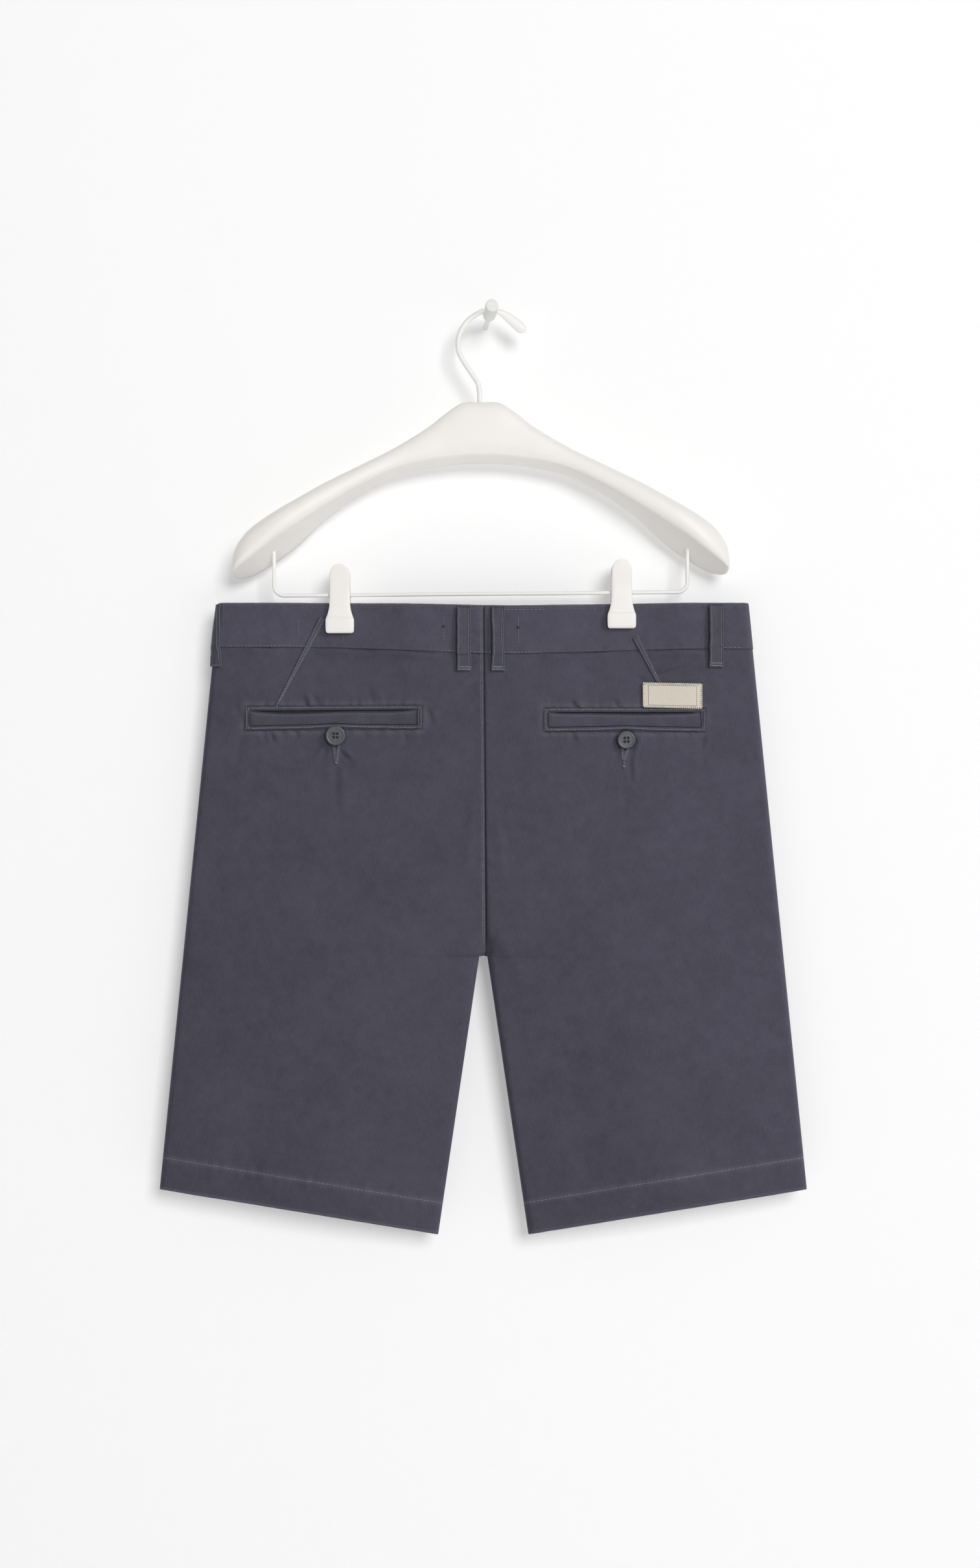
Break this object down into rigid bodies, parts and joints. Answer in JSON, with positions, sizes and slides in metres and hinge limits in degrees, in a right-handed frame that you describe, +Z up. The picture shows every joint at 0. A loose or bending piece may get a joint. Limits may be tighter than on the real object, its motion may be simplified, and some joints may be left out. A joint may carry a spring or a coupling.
{
  "type": "bermuda shorts on a clip hanger and wall peg",
  "caption": "Men's cotton twill bermuda shorts with a waistband, belt loops and buttoned back welt pockets, clipped by the waistband to a contoured hanger on a wall peg.",
  "frame": {"origin": "middle of the wall peg's end face, on the plane of the wall", "axes": "+Z up, +Y into the wall, +X to the right for someone who faces the wall; the back of the shorts faces -Y"},
  "size_m": [0.5198, 0.0585, 0.7448],
  "materials": {
    "twill": "brushed cotton twill, matt with a faint nap",
    "trim_twill": "cotton twill, doubled and topstitched",
    "button": "moulded, satin",
    "label": "woven, matt",
    "hanger_white": "moulded, satin",
    "wire_white": "satin paint"
  },
  "bodies": {
    "root": {"back_panel_left": "twill", "front_panel_left": "twill", "waistband_left": "twill", "pocket_welt_left": "twill", "pocket_frame_left": "trim_twill", "back_dart_left": "trim_twill", "front_pocket_left": "trim_twill", "belt_loop_back_left": "trim_twill", "belt_loop_side_left": "trim_twill", "belt_loop_front_left": "trim_twill", "pocket_button_left": "button", "clip_left_outer": "hanger_white", "clip_left_inner": "hanger_white", "back_panel_right": "twill", "front_panel_right": "twill", "waistband_right": "twill", "pocket_welt_right": "twill", "pocket_frame_right": "trim_twill", "back_dart_right": "trim_twill", "front_pocket_right": "trim_twill", "belt_loop_back_right": "trim_twill", "belt_loop_side_right": "trim_twill", "belt_loop_front_right": "trim_twill", "pocket_button_right": "button", "clip_right_outer": "hanger_white", "clip_right_inner": "hanger_white", "fly": "trim_twill", "waist_button": "button", "label_patch": "label", "hanger_body": "hanger_white", "hanger_hook": "wire_white", "trouser_bar": "wire_white", "wall_peg": "wire_white"}
  },
  "joints": []
}
